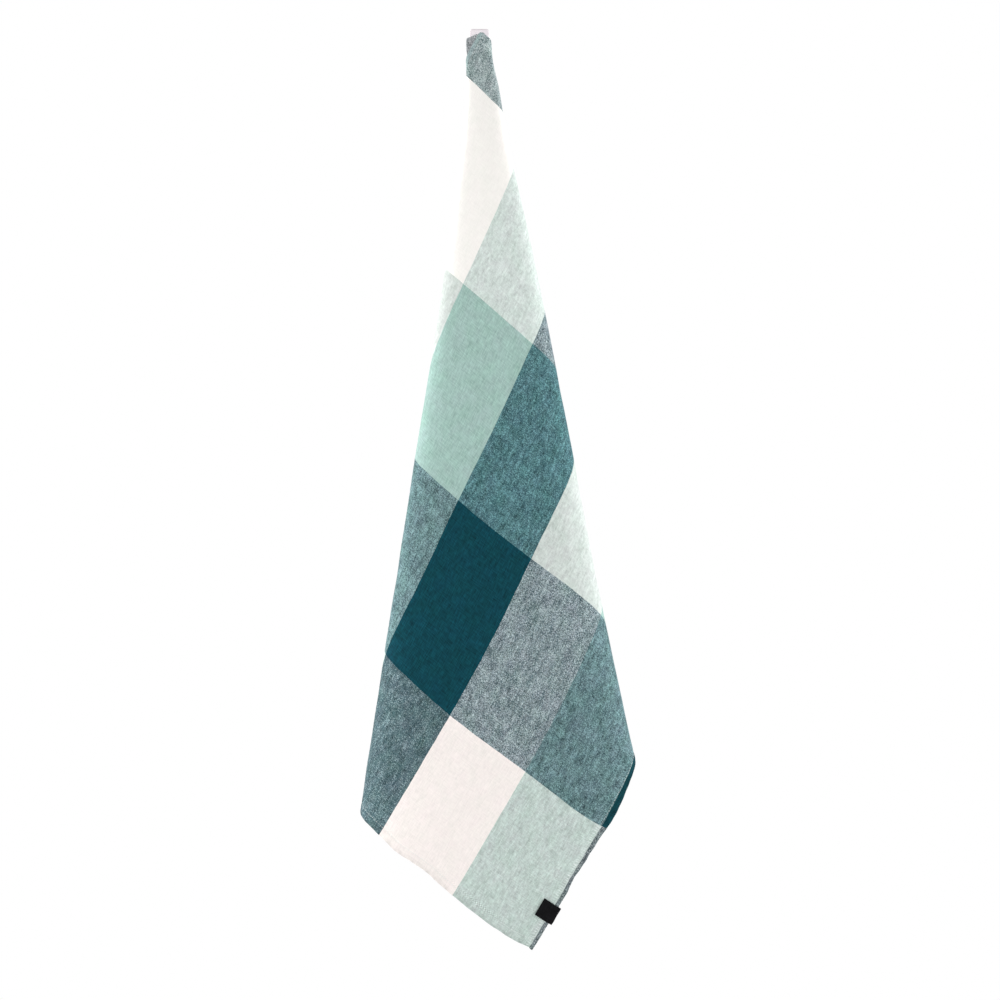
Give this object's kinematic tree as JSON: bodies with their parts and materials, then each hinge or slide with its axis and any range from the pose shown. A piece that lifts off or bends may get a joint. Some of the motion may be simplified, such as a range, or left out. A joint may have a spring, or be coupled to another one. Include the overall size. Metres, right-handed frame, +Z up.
{
  "type": "tea towel on wall hook",
  "caption": "Checked linen tea towel hanging by one corner from a small white wall hook, folded into a long tapering drape with its lower corner free.",
  "frame": {"origin": "centre of the hook's back plate, on the wall", "axes": "+Z up; +Y into the wall, so the towel's front faces -Y; +X to the right as seen from the front"},
  "size_m": [0.276, 0.0585, 0.9237],
  "materials": {
    "checked_linen": "matt linen in a plain weave, broad checks in dark teal, mint and off-white",
    "black_label": "matt black woven label, bare",
    "loop_tape": "matt grey woven tape",
    "white_plastic": "smooth off-white moulded plastic"
  },
  "bodies": {
    "root": {"towel_cloth": "checked_linen", "side_label": "black_label", "hanging_loop": "loop_tape", "wall_hook": "white_plastic"}
  },
  "joints": []
}
